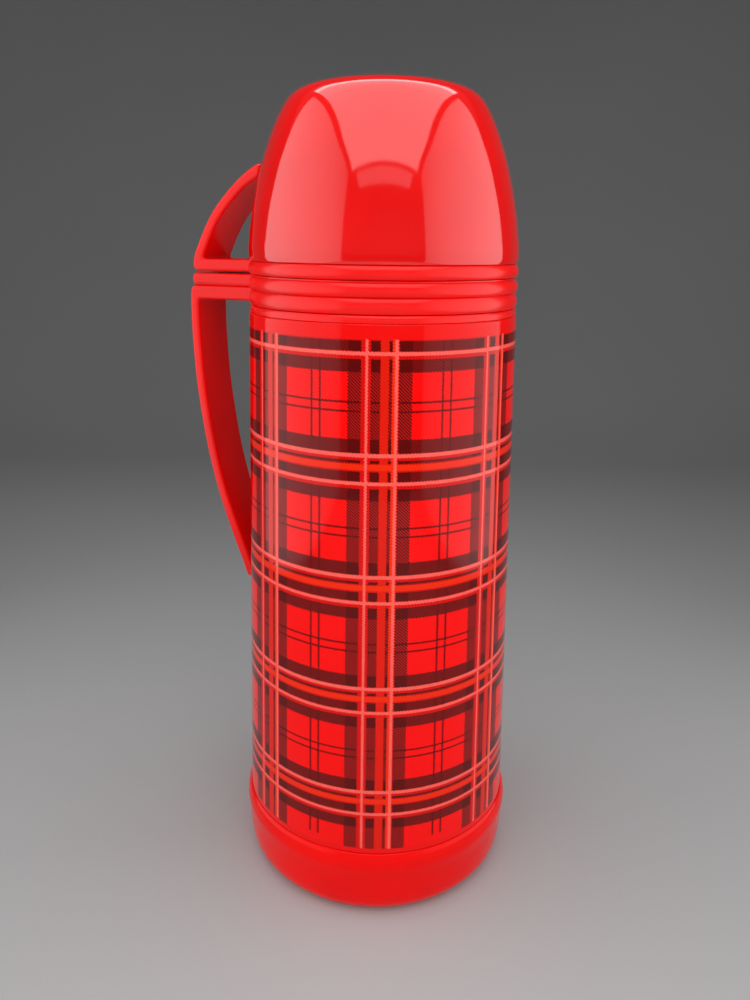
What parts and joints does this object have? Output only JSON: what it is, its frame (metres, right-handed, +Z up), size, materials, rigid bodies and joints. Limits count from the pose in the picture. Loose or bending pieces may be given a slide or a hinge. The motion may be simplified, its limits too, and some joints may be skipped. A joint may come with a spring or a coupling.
{
  "type": "vacuum flask",
  "caption": "Tapered vacuum flask with a glass filler, a screw stopper, a dome drinking cup that has its own strap handle, and a carry handle on the collar.",
  "frame": {"origin": "centre of the flat underside of the base cap, on the flask's axis, at the surface that the flask stands on", "axes": "+Z up along the flask's axis, -X towards both handles, Y across the handles"},
  "size_m": [0.1455, 0.1236, 0.3318],
  "materials": {
    "glossy_red_plastic": "glossy",
    "printed_jacket_plastic": "glossy, printed tartan",
    "satin_red_plastic": "satin",
    "black_rubber": "matte",
    "white_plastic": "satin",
    "silvered_glass": "mirror-silvered",
    "stopper_foam": "foamed",
    "spacer_pad": "matte fibre"
  },
  "bodies": {
    "flask": {"jacket": "printed_jacket_plastic", "collar": "satin_red_plastic", "carry_handle_band": "satin_red_plastic", "pouring_ring": "white_plastic", "inner_glass": "silvered_glass", "outer_glass": "silvered_glass", "glass_seal_tip": "silvered_glass", "glass_spacer_1": "spacer_pad", "glass_spacer_2": "spacer_pad", "glass_spacer_3": "spacer_pad", "neck_gasket": "black_rubber", "shoulder_cushion": "black_rubber", "centring_ring": "black_rubber"},
    "stopper": {"stopper_shell": "satin_red_plastic", "stopper_core": "stopper_foam", "stopper_grip_cap": "satin_red_plastic", "stopper_gasket": "black_rubber"},
    "cup": {"cup_body": "glossy_red_plastic", "cup_handle_band": "satin_red_plastic"},
    "base": {"base_cap": "glossy_red_plastic", "base_cushion": "black_rubber", "base_gasket": "black_rubber"}
  },
  "joints": [
    {"name": "stopper_lift", "type": "slide", "parent": "flask", "child": "stopper", "axis": [0, 0, 1], "range_m": [0, 0.06]},
    {"name": "cup_lift", "type": "slide", "parent": "stopper", "child": "cup", "axis": [0, 0, 1], "range_m": [0, 0.09]},
    {"name": "base_unscrew", "type": "hinge", "parent": "flask", "child": "base", "pos_m": [0, 0, 0.02], "axis": [0, 0, 1], "range_deg": [-450, 0]}
  ]
}
